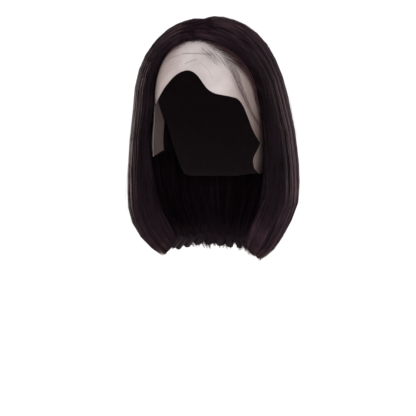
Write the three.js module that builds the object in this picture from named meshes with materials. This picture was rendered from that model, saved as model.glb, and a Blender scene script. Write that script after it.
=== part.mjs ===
// A chin-length bob wig with a centre parting, worn: lace front, stretch cap and three bodies of hair.
// Millimetres, +Z up, the face opening toward -Y and the wearer's left at +X.
// The origin is the inside of the cap's crown, where the wearer's head carries it.
import * as THREE from 'three';

// Head form inside the cap
const HEAD_HALF_WIDTH = 76;
const HEAD_FRONT = 94;
const HEAD_BACK = 98;
const WIDEST_DEPTH = 104;
const DOME_POWER = 2.2;
const NAPE_TAPER = 0.18;
const TAPER_POWER = 1.5;
const LEAN_DEG = 4;
const LEAN_FADE = 45;

// Cap and lace
const CAP_DEPTH = 185;
const CAP_WALL = 1.2;
const LACE_WALL = 1;
const SEAM_GAP = 0.8;
const LACE_END_TURN = 100;
const LEFT_TAB_DEPTH = 207;
const RIGHT_TAB_DEPTH = 171;
const LEFT_TAB_TOP_DEPTH = 155;
const RIGHT_TAB_TOP_DEPTH = 102;
const LEFT_TAB_LENGTH = 30;
const RIGHT_TAB_LENGTH = 72;
const LEFT_TAB_SWAY_DEG = 19;
const RIGHT_TAB_SWAY_DEG = 0;
const LEFT_TAB_FLARE = 3;
const RIGHT_TAB_FLARE = 15;
const FLARE_START_TURNS = [35, 60];
const SWAY_END_TURNS = [88, 104];

// Parting and hairline
const PARTING_WIDTH = 2;
const PARTING_FRONT_X = 4;
const PARTING_FRONT_Y = -63;
const PARTING_CROWN_X = -3;
const PARTING_CROWN_Y = 35;
const LEFT_FRONT_TURN = 72;
const RIGHT_FRONT_TURN = 45;
const LEFT_FRONT_DRIFT_DEG = 5;
const RIGHT_FRONT_DRIFT_DEG = 5;
const DRIFT_LENGTH = 22;
const LEFT_HAIRLINE_BOW = 9;
const RIGHT_HAIRLINE_BOW = 0;

// Hair
const SEAT_GAP = 0.8;
const HAIR_LAYER = 33.5;
const FRONT_DROP = 314;
const BACK_RISE = 3;
const SIDE_DROP_DIFFERENCE = 2;
const HEM_CUT = 16;
const ROOT_THICKNESS = 2;
const PARTING_ROUND = 13;
const FRONT_ROUND = 17;
const PARTING_END_SHARE = 0.62;
const BACK_START_SHARE = 0.5;
const NODE_GAP = 0.7;
const LOCKS_PER_SIDE = 7;
const LOCKS_PER_HALF_BACK = 5;
const LOCK_RELIEF = 2;
const LOCK_LIFT = 0.8;
const LOCK_TIP = 4;
const LOCK_RHYTHM = 2.4;

// Rows and columns of the surfaces
const LOCK_STEPS = [0, 0.3, 0.7];
const DOME_ROWS = 11;
const HANG_ROWS = 12;
const CAP_ROWS = 9;
const LACE_ROWS = 6;
const NAPE_STEP_DEG = 8;
const DOME_CROWDING = 1.9;
const HANG_CROWDING = 1.35;
const CAP_CROWDING = 1.55;

// Where the lace is trimmed, by turn from the face line (wearer's left positive), as shares of CAP_DEPTH
const LACE_EDGE = [
  { turn: -100, drop: 0.7 },
  { turn: -88, drop: 0.7 },
  { turn: -76, drop: 0.74 },
  { turn: -62, drop: 0.68 },
  { turn: -54, drop: 0.61 },
  { turn: -45, drop: 0.55 },
  { turn: -38, drop: 0.515 },
  { turn: -30, drop: 0.465 },
  { turn: -22, drop: 0.415 },
  { turn: -14, drop: 0.37 },
  { turn: -7, drop: 0.345 },
  { turn: 0, drop: 0.335 },
  { turn: 6, drop: 0.345 },
  { turn: 12, drop: 0.38 },
  { turn: 17, drop: 0.435 },
  { turn: 21, drop: 0.475 },
  { turn: 27, drop: 0.505 },
  { turn: 34, drop: 0.52 },
  { turn: 42, drop: 0.535 },
  { turn: 49, drop: 0.555 },
  { turn: 54, drop: 0.6 },
  { turn: 60, drop: 0.685 },
  { turn: 66, drop: 0.765 },
  { turn: 74, drop: 0.83 },
  { turn: 84, drop: 0.87 },
  { turn: 92, drop: 0.87 },
  { turn: 100, drop: 0.84 },
];

// How much of each ear tab shows, by turn to its side, from none to its full depth
const LEFT_EAR_TAB = [
  { turn: 84.5, full: 0 },
  { turn: 86, full: 0.2 },
  { turn: 87.3, full: 0.42 },
  { turn: 88.8, full: 0.55 },
  { turn: 90.5, full: 0.7 },
  { turn: 93.5, full: 0.82 },
  { turn: 97, full: 0.9 },
  { turn: 100, full: 0.93 },
];

const RIGHT_EAR_TAB = [
  { turn: 49, full: 0 },
  { turn: 51, full: 0.08 },
  { turn: 53, full: 0.33 },
  { turn: 54.5, full: 0.63 },
  { turn: 56.5, full: 0.9 },
  { turn: 59, full: 1 },
  { turn: 69, full: 1 },
  { turn: 78, full: 0.97 },
  { turn: 88, full: 0.93 },
  { turn: 100, full: 0.84 },
];

// Seam between lace and cap, under the hair, as shares of CAP_DEPTH
const LACE_SEAM = [
  { turn: 0, drop: 0.05 },
  { turn: 30, drop: 0.07 },
  { turn: 55, drop: 0.16 },
  { turn: 75, drop: 0.36 },
  { turn: 90, drop: 0.56 },
  { turn: 100, drop: 0.68 },
];

// Lower edge of the cap behind the ears, as shares of CAP_DEPTH
const NAPE_EDGE = [
  { turn: 100, drop: 0.7 },
  { turn: 102, drop: 0.8 },
  { turn: 105, drop: 0.97 },
  { turn: 108, drop: 1.06 },
  { turn: 118, drop: 1.09 },
  { turn: 132, drop: 1.1 },
  { turn: 156, drop: 1.11 },
  { turn: 180, drop: 1.12 },
];

// Thickness of the hair over the head on either side, as shares of HAIR_LAYER, by share of the whole drop.
// Below the widest level it is measured from a line that hangs straight down.
const OUTER_HAIR = [
  { drop: 0, left: 0.23, right: 0.19 },
  { drop: 0.05, left: 0.305, right: 0.323 },
  { drop: 0.09, left: 0.35, right: 0.415 },
  { drop: 0.2, left: 0.43, right: 0.56 },
  { drop: 0.34, left: 0.63, right: 0.695 },
  { drop: 0.53, left: 0.93, right: 0.93 },
  { drop: 0.72, left: 1.03, right: 1 },
  { drop: 0.8, left: 0.93, right: 0.935 },
  { drop: 0.86, left: 0.63, right: 0.75 },
  { drop: 0.92, left: 0.31, right: 0.41 },
  { drop: 0.96, left: 0.05, right: 0.06 },
  { drop: 1, left: -0.38, right: -0.38 },
];

// How far the inner face lies inside that hanging line on either side, as it curls under
const INNER_HAIR = [
  { drop: 0, left: 0, right: 0 },
  { drop: 0.33, left: 0, right: 0 },
  { drop: 0.45, left: -0.06, right: -0.15 },
  { drop: 0.6, left: -0.06, right: -0.15 },
  { drop: 0.76, left: 0.07, right: 0.04 },
  { drop: 0.86, left: 0.3, right: 0.3 },
  { drop: 0.93, left: 0.6, right: 0.6 },
  { drop: 1, left: 0.84, right: 0.84 },
];

const LEAN = new THREE.Quaternion().setFromAxisAngle(
  new THREE.Vector3(0, 1, 0),
  -THREE.MathUtils.degToRad(LEAN_DEG),
);

const LEAN_SLOPE = Math.tan(THREE.MathUtils.degToRad(LEAN_DEG));
const WIDEST_SHARE = WIDEST_DEPTH / FRONT_DROP;

const LEFT = {
  sign: 1,
  frontTurn: LEFT_FRONT_TURN,
  drift: LEFT_FRONT_DRIFT_DEG,
  bow: LEFT_HAIRLINE_BOW,
  column: 'left',
  tab: LEFT_EAR_TAB,
  tabDepth: LEFT_TAB_DEPTH,
  tabTop: LEFT_TAB_TOP_DEPTH,
  tabLength: LEFT_TAB_LENGTH,
  tabSway: LEFT_TAB_SWAY_DEG,
  tabFlare: LEFT_TAB_FLARE,
};
const RIGHT = {
  sign: -1,
  frontTurn: RIGHT_FRONT_TURN,
  drift: RIGHT_FRONT_DRIFT_DEG,
  bow: RIGHT_HAIRLINE_BOW,
  column: 'right',
  tab: RIGHT_EAR_TAB,
  tabDepth: RIGHT_TAB_DEPTH,
  tabTop: RIGHT_TAB_TOP_DEPTH,
  tabLength: RIGHT_TAB_LENGTH,
  tabSway: RIGHT_TAB_SWAY_DEG,
  tabFlare: RIGHT_TAB_FLARE,
};

const sideOf = (turn) => (turn < 0 ? RIGHT : LEFT);

// Reads a table between its rows along a smooth curve that passes through each row.
function read(table, key, value, at) {
  const last = table.length - 1;
  if (at <= table[0][key]) return table[0][value];
  if (at >= table[last][key]) return table[last][value];
  const k = table.findIndex((row) => row[key] > at) - 1;
  const slope = (i) => {
    const a = table[Math.max(i - 1, 0)];
    const b = table[Math.min(i + 1, last)];
    return (b[value] - a[value]) / (b[key] - a[key]);
  };
  const span = table[k + 1][key] - table[k][key];
  const t = (at - table[k][key]) / span;
  const rise = table[k + 1][value] - table[k][value];
  const bend = (slope(k) * span - rise) * (1 - t) - (slope(k + 1) * span - rise) * t;
  return table[k][value] + rise * t + bend * t * (1 - t);
}

// A quarter round: 0 at an edge, 1 from the given distance on.
function quarterRound(distance, radius) {
  const t = Math.min(distance / radius, 1);
  return Math.sqrt(1 - (1 - t) ** 2);
}

// The head form's half-length on the side where the turn points.
const headLength = (turn) => (Math.cos(turn) > 0 ? HEAD_FRONT : HEAD_BACK);

// How wide the head form is at a depth below the crown, as a share of its widest level.
function headShare(depth) {
  if (depth < WIDEST_DEPTH) {
    return (1 - (1 - depth / WIDEST_DEPTH) ** DOME_POWER) ** (1 / DOME_POWER);
  }
  const down = (depth - WIDEST_DEPTH) / (CAP_DEPTH - WIDEST_DEPTH);
  return 1 - NAPE_TAPER * down ** TAPER_POWER;
}

// The depth at which the dome is as wide as the given share.
function domeDepth(share) {
  const rise = (1 - Math.min(share, 1) ** DOME_POWER) ** (1 / DOME_POWER);
  return WIDEST_DEPTH * (1 - rise);
}

// A place on the head form, or off it along its normal, with the turn in radians.
function onHead(turn, depth, offset) {
  const share = headShare(depth);
  const length = headLength(turn);
  const x = HEAD_HALF_WIDTH * share * Math.sin(turn);
  const y = -length * share * Math.cos(turn);
  const flat = share ** (DOME_POWER - 2);
  const rise = Math.max(1 - depth / WIDEST_DEPTH, 0) ** (DOME_POWER - 1) / WIDEST_DEPTH;
  const normal = new THREE.Vector3(
    (flat * x) / HEAD_HALF_WIDTH ** 2,
    (flat * y) / length ** 2,
    rise,
  ).normalize();
  return new THREE.Vector3(x, y, -depth).addScaledVector(normal, offset);
}

// A place on the cap or the lace: the head form, with the ear tabs swaying forward and flaring out.
function onCap(turnDeg, depth, offset) {
  const side = sideOf(turnDeg);
  const away = Math.abs(turnDeg);
  const down = THREE.MathUtils.smoothstep(depth - side.tabTop, 0, side.tabLength);
  const loose = down * THREE.MathUtils.smoothstep(away, ...FLARE_START_TURNS);
  const swaying = loose * (1 - THREE.MathUtils.smoothstep(away, ...SWAY_END_TURNS));
  const turn = turnDeg - side.sign * side.tabSway * swaying;
  const flare = side.tabFlare * loose;
  return onHead(THREE.MathUtils.degToRad(turn), depth, offset + flare);
}

const seamDepth = (turn) => CAP_DEPTH * read(LACE_SEAM, 'turn', 'drop', Math.abs(turn));

// Where the trimmed lace ends: its hairline edge, lengthened at the ears into the tabs.
function laceEdgeDepth(turn) {
  const side = sideOf(turn);
  const trimmed = CAP_DEPTH * read(LACE_EDGE, 'turn', 'drop', turn);
  return THREE.MathUtils.lerp(trimmed, side.tabDepth, read(side.tab, 'turn', 'full', Math.abs(turn)));
}

// Where the cap ends: at the seam in front of the ears, at the nape edge behind them.
function capEdgeDepth(turn) {
  if (Math.abs(turn) <= LACE_END_TURN) return seamDepth(turn) - SEAM_GAP;
  return CAP_DEPTH * read(NAPE_EDGE, 'turn', 'drop', Math.abs(turn));
}

// A closed wall between two grids of points; its columns run round to the wearer's left, its rows down.
function wall(outside, inside, goesRound) {
  const positions = [];
  const indexAt = new Map();
  const faces = [];
  const corner = (point) => {
    const key = point.toArray().map((value) => value.toFixed(3)).join(' ');
    if (!indexAt.has(key)) {
      indexAt.set(key, positions.length / 3);
      positions.push(...point.toArray());
    }
    return indexAt.get(key);
  };
  const face = (...points) => {
    const [a, b, c] = points.map(corner);
    if (a !== b && b !== c && c !== a) faces.push(a, b, c);
  };
  const quad = (a, b, c, d) => {
    face(a, b, c);
    face(a, c, d);
  };
  const columns = outside.length;
  const rows = outside[0].length;
  for (let i = 0; i < columns - (goesRound ? 0 : 1); i += 1) {
    const next = (i + 1) % columns;
    for (let j = 0; j < rows - 1; j += 1) {
      quad(outside[i][j], outside[i][j + 1], outside[next][j + 1], outside[next][j]);
      quad(inside[i][j], inside[next][j], inside[next][j + 1], inside[i][j + 1]);
    }
    quad(outside[i][0], outside[next][0], inside[next][0], inside[i][0]);
    quad(outside[next][rows - 1], outside[i][rows - 1], inside[i][rows - 1], inside[next][rows - 1]);
  }
  if (!goesRound) {
    const end = columns - 1;
    for (let j = 0; j < rows - 1; j += 1) {
      quad(outside[0][j + 1], outside[0][j], inside[0][j], inside[0][j + 1]);
      quad(outside[end][j], outside[end][j + 1], inside[end][j + 1], inside[end][j]);
    }
  }
  const geometry = new THREE.BufferGeometry();
  geometry.setAttribute('position', new THREE.Float32BufferAttribute(positions, 3));
  geometry.setIndex(faces);
  return geometry;
}

// The turns at which lace and cap have their columns: the rows of the edge table and the steps between.
function laceTurns() {
  const turns = LACE_EDGE.map((row) => row.turn);
  for (const side of [LEFT, RIGHT]) {
    for (const { turn } of side.tab) turns.push(side.sign * turn);
  }
  return [...new Set(turns)].sort((a, b) => a - b);
}

function laceFront() {
  const grid = (offset) => laceTurns().map((turn) => {
    const top = seamDepth(turn);
    const drop = laceEdgeDepth(turn) - top;
    return Array.from({ length: LACE_ROWS + 1 }, (_, j) => (
      onCap(turn, top + (drop * j) / LACE_ROWS, offset)
    ));
  });
  return wall(grid(LACE_WALL), grid(0), false);
}

function stretchCap() {
  const turns = laceTurns();
  for (let turn = LACE_END_TURN + NAPE_STEP_DEG / 2; turn < 360 - LACE_END_TURN; turn += NAPE_STEP_DEG) {
    turns.push(turn <= 180 ? turn : turn - 360);
  }
  const grid = (offset) => turns.map((turn) => {
    const drop = capEdgeDepth(turn);
    return Array.from({ length: CAP_ROWS + 1 }, (_, j) => (
      onHead(THREE.MathUtils.degToRad(turn), drop * (j / CAP_ROWS) ** CAP_CROWDING, offset)
    ));
  });
  return wall(grid(CAP_WALL), grid(0), true);
}

// Where a strand is rooted, seen from above: along the parting, then round its crown end.
function root(side, sweep) {
  const half = PARTING_WIDTH / 2;
  const along = Math.min(sweep / PARTING_END_SHARE, 1);
  const around = Math.max(sweep - PARTING_END_SHARE, 0) / (1 - PARTING_END_SHARE);
  const angle = (around * Math.PI) / 2;
  return new THREE.Vector2(
    THREE.MathUtils.lerp(PARTING_FRONT_X, PARTING_CROWN_X, along) + side.sign * half * Math.cos(angle),
    THREE.MathUtils.lerp(PARTING_FRONT_Y, PARTING_CROWN_Y, along) + half * Math.sin(angle),
  );
}

// Where the same strand hangs, in radians: the front ones swing back from the face below the widest level.
function hangTurn(side, sweep, down) {
  const fall = down * (FRONT_DROP - WIDEST_DEPTH);
  const drift = side.drift * (1 - Math.exp(-fall / DRIFT_LENGTH)) * (1 - sweep) ** 4;
  return side.sign * THREE.MathUtils.degToRad(THREE.MathUtils.lerp(side.frontTurn, 180, sweep) + drift);
}

// A strand's place on the head, from its root to the widest level: its turn and depth.
function onDome(side, sweep, along) {
  const from = root(side, sweep);
  const turn = hangTurn(side, sweep, 0);
  const to = new THREE.Vector2(HEAD_HALF_WIDTH * Math.sin(turn), -headLength(turn) * Math.cos(turn));
  const chord = to.clone().sub(from);
  const outward = new THREE.Vector2(chord.y, -chord.x).normalize().multiplyScalar(side.sign);
  const bow = side.bow * 4 * along * (1 - along) * (1 - sweep) ** 2;
  const place = from.clone().addScaledVector(chord, along).addScaledVector(outward, bow);
  const length = place.y < 0 ? HEAD_FRONT : HEAD_BACK;
  const share = Math.hypot(place.x / HEAD_HALF_WIDTH, place.y / length);
  return {
    turn: Math.atan2(place.x / HEAD_HALF_WIDTH, -place.y / length),
    depth: domeDepth(share),
    fromRoot: place.distanceTo(from),
  };
}

// How far below the crown the hem hangs at a turn.
function hemDrop(turn) {
  const behind = (1 - Math.cos(turn)) / 2;
  return FRONT_DROP - BACK_RISE * behind + SIDE_DROP_DIFFERENCE * Math.sin(turn);
}

// A place in the hair: over the leaning head down to its widest level, then hanging straight down.
function inHair(turn, drop, offset, shortening) {
  const depth = Math.min(drop * FRONT_DROP, WIDEST_DEPTH);
  const seated = onHead(turn, depth, 0).applyQuaternion(LEAN);
  const place = onHead(turn, depth, offset).applyQuaternion(LEAN);
  if (drop > WIDEST_SHARE) {
    const share = (drop - WIDEST_SHARE) / (1 - WIDEST_SHARE);
    const fall = share * (hemDrop(turn) - shortening + seated.z);
    place.x += LEAN_SLOPE * LEAN_FADE * (1 - Math.exp(-fall / LEAN_FADE));
    place.z -= fall;
  }
  return place;
}

// How long the sweep from the front edge to the middle of the back is at the widest level.
const sweepLength = (side) => (
  (THREE.MathUtils.degToRad(180 - side.frontTurn) * (HEAD_HALF_WIDTH + HEAD_BACK)) / 2
);

// Reads a table of the hair on one side, which turns into the mean of both sides at the middle of the back.
function hairShare(table, side, sweep, drop) {
  const both = (read(table, 'drop', 'left', drop) + read(table, 'drop', 'right', drop)) / 2;
  return THREE.MathUtils.lerp(read(table, 'drop', side.column, drop), both, sweep);
}

// One strand line of a lock: its points on the inner and outer face, from root to hem.
function hairColumn({ side, sweep, phase, number }) {
  const base = CAP_WALL + SEAT_GAP;
  const fromFront = quarterRound(sweep * sweepLength(side), FRONT_ROUND);
  const crest = Math.sqrt(Math.sin(Math.PI * phase));
  const lift = LOCK_LIFT * Math.sin(number * LOCK_RHYTHM);
  const tip = LOCK_TIP * (1 - crest + Math.cos(number * LOCK_RHYTHM) ** 2);
  const inner = [];
  const outer = [];
  const addRow = (turn, drop, fromParting, free) => {
    const swell = HAIR_LAYER * hairShare(OUTER_HAIR, side, sweep, drop);
    const tuck = HAIR_LAYER * hairShare(INNER_HAIR, side, sweep, drop);
    const layer = (swell + tuck) * fromFront * quarterRound(fromParting, PARTING_ROUND);
    const relief = free * (lift - LOCK_RELIEF * (1 - crest));
    const thickness = Math.max(layer + relief, ROOT_THICKNESS);
    const cut = HEM_CUT * Math.max(1 - thickness / (swell + tuck), 0);
    inner.push(inHair(turn, drop, base - tuck, tip + HEM_CUT));
    outer.push(inHair(turn, drop, base - tuck + thickness, tip + cut));
  };
  for (let j = 0; j < DOME_ROWS; j += 1) {
    const along = 1 - (1 - j / DOME_ROWS) ** DOME_CROWDING;
    const { turn, depth, fromRoot } = onDome(side, sweep, along);
    addRow(turn, depth / FRONT_DROP, fromRoot, along);
  }
  for (let j = 0; j <= HANG_ROWS; j += 1) {
    const down = 1 - (1 - j / HANG_ROWS) ** HANG_CROWDING;
    addRow(hangTurn(side, sweep, down), THREE.MathUtils.lerp(WIDEST_SHARE, 1, down), Infinity, 1);
  }
  return { inner, outer };
}

// The strand lines of neighbouring locks between two places in the sweep.
function lockLines(side, start, end, locks, firstNumber) {
  const lines = [];
  for (let i = 0; i < locks; i += 1) {
    for (const phase of LOCK_STEPS) {
      const sweep = THREE.MathUtils.lerp(start, end, (i + phase) / locks);
      lines.push({ side, sweep, phase, number: firstNumber + i });
    }
  }
  lines.push({ side, sweep: end, phase: 0, number: firstNumber + locks });
  return lines;
}

function hairWall(lines) {
  const columns = lines.map(hairColumn);
  return wall(columns.map(({ outer }) => outer), columns.map(({ inner }) => inner), false);
}

// The hair over one ear, from the hairline to behind the ear.
function sideHair(side) {
  const end = BACK_START_SHARE - NODE_GAP / 2 / sweepLength(side);
  const lines = lockLines(side, 0, end, LOCKS_PER_SIDE, 0);
  return hairWall(side.sign > 0 ? lines : lines.reverse());
}

// The hair down the back, from behind one ear round to behind the other.
function backHair() {
  const half = (side) => {
    const start = BACK_START_SHARE + NODE_GAP / 2 / sweepLength(side);
    return lockLines(side, start, 1, LOCKS_PER_HALF_BACK, LOCKS_PER_SIDE);
  };
  return hairWall([...half(LEFT), ...half(RIGHT).slice(0, -1).reverse()]);
}

const lace = new THREE.MeshStandardMaterial({ color: 0xbfb6b6, roughness: 0.85, metalness: 0 });
const net = new THREE.MeshStandardMaterial({ color: 0x241a1c, roughness: 0.9, metalness: 0 });
const hair = new THREE.MeshStandardMaterial({ color: 0x2a2024, roughness: 0.5, metalness: 0 });

function named(name, geometry, material) {
  geometry.computeVertexNormals();
  const mesh = new THREE.Mesh(geometry, material);
  mesh.name = name;
  return mesh;
}

const cap = new THREE.Group();
cap.quaternion.copy(LEAN);
cap.add(named('lace_front', laceFront(), lace));
cap.add(named('stretch_cap', stretchCap(), net));

const wig = new THREE.Group();
wig.add(cap);
wig.add(named('hair_left', sideHair(LEFT), hair));
wig.add(named('hair_right', sideHair(RIGHT), hair));
wig.add(named('hair_back', backHair(), hair));

export default wig;
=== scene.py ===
"""A chin-length bob wig with a centre parting, shaped as worn, in a plain white studio."""

import math

import bpy
import numpy as np
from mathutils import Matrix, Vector


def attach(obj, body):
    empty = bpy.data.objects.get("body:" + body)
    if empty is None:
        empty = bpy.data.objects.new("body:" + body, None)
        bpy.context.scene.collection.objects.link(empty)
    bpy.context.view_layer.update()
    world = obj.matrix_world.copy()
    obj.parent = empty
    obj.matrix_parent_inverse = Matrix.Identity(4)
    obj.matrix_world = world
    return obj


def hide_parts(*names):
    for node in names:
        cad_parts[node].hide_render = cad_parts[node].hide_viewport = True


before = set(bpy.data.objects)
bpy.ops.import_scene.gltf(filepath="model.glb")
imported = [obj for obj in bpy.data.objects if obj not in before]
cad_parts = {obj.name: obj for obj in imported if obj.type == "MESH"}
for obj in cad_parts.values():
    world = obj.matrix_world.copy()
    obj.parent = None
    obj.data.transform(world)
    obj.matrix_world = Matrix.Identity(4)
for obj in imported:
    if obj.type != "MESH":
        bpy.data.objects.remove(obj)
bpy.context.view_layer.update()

MM = 0.001

# The wig's sizes in millimetres and degrees, as in the part's source
HEAD_HALF_WIDTH = 76
HEAD_FRONT = 94
HEAD_BACK = 98
WIDEST_DEPTH = 104
DOME_POWER = 2.2
NAPE_TAPER = 0.18
TAPER_POWER = 1.5
LEAN_DEG = 4
LEAN_FADE = 45

CAP_DEPTH = 185
CAP_WALL = 1.2
LACE_WALL = 1
SEAM_GAP = 0.8
LACE_END_TURN = 100
FLARE_START_TURNS = (35, 60)
SWAY_END_TURNS = (88, 104)

PARTING_WIDTH = 2
PARTING_FRONT = (4, -63)
PARTING_CROWN = (-3, 35)
PARTING_END_SHARE = 0.62
DRIFT_LENGTH = 22

SEAT_GAP = 0.8
HAIR_LAYER = 33.5
FRONT_DROP = 314
BACK_RISE = 3
SIDE_DROP_DIFFERENCE = 2
HEM_CUT = 16
ROOT_THICKNESS = 2
PARTING_ROUND = 13
FRONT_ROUND = 17
BACK_START_SHARE = 0.5
NODE_GAP = 0.7
LOCKS_PER_SIDE = 7
LOCKS_PER_HALF_BACK = 5
LOCK_RELIEF = 2
LOCK_LIFT = 0.8
LOCK_TIP = 4
LOCK_RHYTHM = 2.4
LOCK_STEPS = (0, 0.3, 0.7)

# What the scene adds: the mass under the strands, and where strands lie apart from the form
BODY_SINK = 0.8
BODY_SHORTER = 2
BODY_DOME_STEPS = 25
BODY_HANG_STEPS = 30
BODY_DOME_CROWDING = 2.2
BODY_HANG_CROWDING = 1.35
PARTING_CLOSE = 1.6
CROWN_CLOSE = 1.0
STRAND_CROWDING = 2.4
TUBE_RIDGE = 0.7
TUBE_FOOT = 0.4
TUFT_COUNT = 90
TUFT_WIDTHS = (2.5, 6.5)
TUFT_SWAY = 1.2
TUFT_LIFT = 0.45
TUFT_LENGTH = 1.8
EDGE_BAND = 9
ROOT_SINK = 1.1
ROOT_REACH = 10
VEIL_REACH = 18
SWEPT_REACH = 16
STREAK_WIDTH = 1.8
STREAK_STEPS = 16

# Where along the sweep or the travel strands begin and end to change
CLOSING_EASES = (0, 0.2)
CLOSING_FADES = (0.55, 0.7)
CLOSING_REACH = 0.09
TRIM_STARTS = (0, 0.1)
TRIM_FADES = (0.35, 0.7)
GATHER_RANGE = (1.45, 2)
ROOT_GROWTH = 0.05
TIP_RANGE = (1.8, 2)
WIDTH_RANGE = (0.6, 1.3)

# Hair by kind: how many on the left and on the right, how wide, and the seed of their random draws. Real
# hair, 0.08 mm wide, would be too fine to show, so it is drawn coarser
HAIRS = {
    "outer": (1480, 1480, 0.62, 20), "hem": (900, 900, 0.6, 30), "inner": (420, 420, 0.5, 50),
    "edge": (130, 130, 0.5, 60), "stray": (120, 120, 0.24, 70), "root": (560, 560, 0.26, 80),
    "back_outer": (740, 740, 0.62, 90), "back_hem": (1500, 1500, 0.6, 100),
    "back_inner": (560, 560, 0.5, 110), "crossing_front": (130, 130, 0.5, 130),
    "crossing_crown": (150, 150, 0.5, 160), "veil": (130, 14, 0.36, 140), "swept": (12, 70, 0.5, 150),
    "temple": (26, 0, 0.3, 120),
}
TUFT_SEED = 40
STREAK_SEED = 44
LOOSE_SEED = 120
# Hairs that cross the parting: from and to which sweep, and how high they stand
CROSSINGS = {"crossing_front": (0, 0.17, (0.8, 3.4)), "crossing_crown": (0.15, 0.62, (-1.4, -0.4))}

# How much each cause adds to a strand's tone from dark (0) to light (1), or takes from it. Strands that
# stand off the rest and the hem where it turns under get painted light, the hair towards the face painted
# shade
TONE = {"base": 0.14, "streak": 0.5, "own": 0.5, "raised": 0.3, "front": 0.42, "curl_light": 0.24}
FRONT_SHADE_REACH = 20

# Locks over the temple: hairs, how far apart, width, and their route by turn and depth on the head
LOOSE_LOCKS = (
    (4, 2.8, 0.27, ((37, 38), (43, 54.7), (48.5, 71.7), (54.7, 97.7), (65, 124.3), (80.7, 144.7))),
    (7, 4.4, 0.24, ((47.7, 71.7), (51.5, 86), (56.7, 102.7), (65, 124.3), (74, 138), (83, 150))),
)
# The band that single loose hairs lie in over the temple: its routes beside the face and the hair
TEMPLE_BAND = (
    ((10, 33), (18, 43), (26, 55), (32, 69), (36, 84), (40, 98)),
    ((42, 41), (48, 55), (53, 72), (58, 97), (68, 122), (84, 142)),
)

# Creases: a route on the flat lace in millimetres across and down, and how strongly it shows
CREASES = (
    (((-11.2, 40.3), (3.3, 40.7), (18.4, 41.7), (28.6, 43.0), (38.1, 45.0)), 1),
    (((-3.3, 53.7), (4.8, 51.0), (14.9, 49.0)), 0.7),
    (((-57.0, 76.3), (-42.5, 64.0), (-27.1, 54.7), (-12.6, 49.3)), 0.4),
    (((-62.8, 86.3), (-46.0, 71.7), (-29.4, 61.0), (-15.5, 54.3)), 0.4),
    (((-43.9, 48.7), (-31.5, 43.7), (-14.9, 41.7)), 0.6),
    (((-59.4, 81), (-44.2, 68), (-28.3, 58)), 0.3),
    (((-52.2, 66), (-39.1, 57), (-24.6, 50)), 0.3),
    (((20.3, 53), (31.9, 62), (37.7, 74)), 0.35),
)
CREASE_WIDTH = 0.8
CREASE_HEIGHT = 0.3
CREASE_SHADE = 0.5
SHEET_THICKNESS = 0.4
MM_PER_DEGREE = 1.45
LACE_GRID = (320, 72)
CAP_GRID = (180, 36)
CAP_CROWDING = 1.55
# Holes in the drawn nets: the real nets' 0.6 mm would be too fine to show
LACE_HOLE = 1.2
CAP_HOLE = 1.5

# The studio: places and sizes in metres, the lens in millimetres
CAMERA_TURN_DEG = 20
CAMERA_RISE_DEG = 5
CAMERA_AIM = (0.00854, -0.01959, -0.24379)
CAMERA_DISTANCE = 2.0
CAMERA_LENS = 130.1
FLOOR_SIZE = 60
FLOOR_HEIGHT = -0.52
WORLD_STRENGTH = 1.1
WHITE = (1, 1, 1)
WARM = (1, 0.84, 0.78)
# Lights: name, place, aim, width and height, power in watts, colour
LIGHTS = (
    ("key", (0.9, -1.6, 1.1), (0, 0, -0.12), (1.2, 1.2), 4, WHITE),
    ("side_left", (1.4, 0.9, -0.3), (0, 0, -0.2), (0.8, 1.4), 20, WARM),
    ("side_right", (-1.7, 0.3, -0.3), (0, 0, -0.2), (0.8, 1.4), 44, WARM),
)

WIDEST_SHARE = WIDEST_DEPTH / FRONT_DROP
LEAN = math.radians(LEAN_DEG)

# Turn from the face line in degrees: depth of the lace's cut edge, as a share of CAP_DEPTH
LACE_EDGE = (
    (-100, 0.7), (-88, 0.7), (-76, 0.74), (-62, 0.68), (-54, 0.61), (-45, 0.55), (-38, 0.515),
    (-30, 0.465), (-22, 0.415), (-14, 0.37), (-7, 0.345), (0, 0.335), (6, 0.345), (12, 0.38),
    (17, 0.435), (21, 0.475), (27, 0.505), (34, 0.52), (42, 0.535), (49, 0.555), (54, 0.6),
    (60, 0.685), (66, 0.765), (74, 0.83), (84, 0.87), (92, 0.87), (100, 0.84),
)
# Turn to that side: how much of the ear tab shows
LEFT_TAB = (
    (84.5, 0), (86, 0.2), (87.3, 0.42), (88.8, 0.55), (90.5, 0.7), (93.5, 0.82), (97, 0.9), (100, 0.93),
)
RIGHT_TAB = (
    (49, 0), (51, 0.08), (53, 0.33), (54.5, 0.63), (56.5, 0.9), (59, 1), (69, 1), (78, 0.97), (88, 0.93),
    (100, 0.84),
)
# Turn to either side: depth of the seam between lace and cap, as a share of CAP_DEPTH
LACE_SEAM = ((0, 0.05), (30, 0.07), (55, 0.16), (75, 0.36), (90, 0.56), (100, 0.68))
# Turn to either side: depth of the cap's nape edge, as a share of CAP_DEPTH
NAPE_EDGE = (
    (100, 0.7), (102, 0.8), (105, 0.97), (108, 1.06), (118, 1.09), (132, 1.1), (156, 1.11), (180, 1.12),
)
# Share of the drop: thickness of the hair on the left and on the right, as a share of HAIR_LAYER
LEFT_HAIR = (
    (0, 0.23), (0.05, 0.305), (0.09, 0.35), (0.2, 0.43), (0.34, 0.63), (0.53, 0.93), (0.72, 1.03),
    (0.8, 0.93), (0.86, 0.63), (0.92, 0.31), (0.96, 0.05), (1, -0.38),
)
RIGHT_HAIR = (
    (0, 0.19), (0.05, 0.323), (0.09, 0.415), (0.2, 0.56), (0.34, 0.695), (0.53, 0.93), (0.72, 1),
    (0.8, 0.935), (0.86, 0.75), (0.92, 0.41), (0.96, 0.06), (1, -0.38),
)
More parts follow.
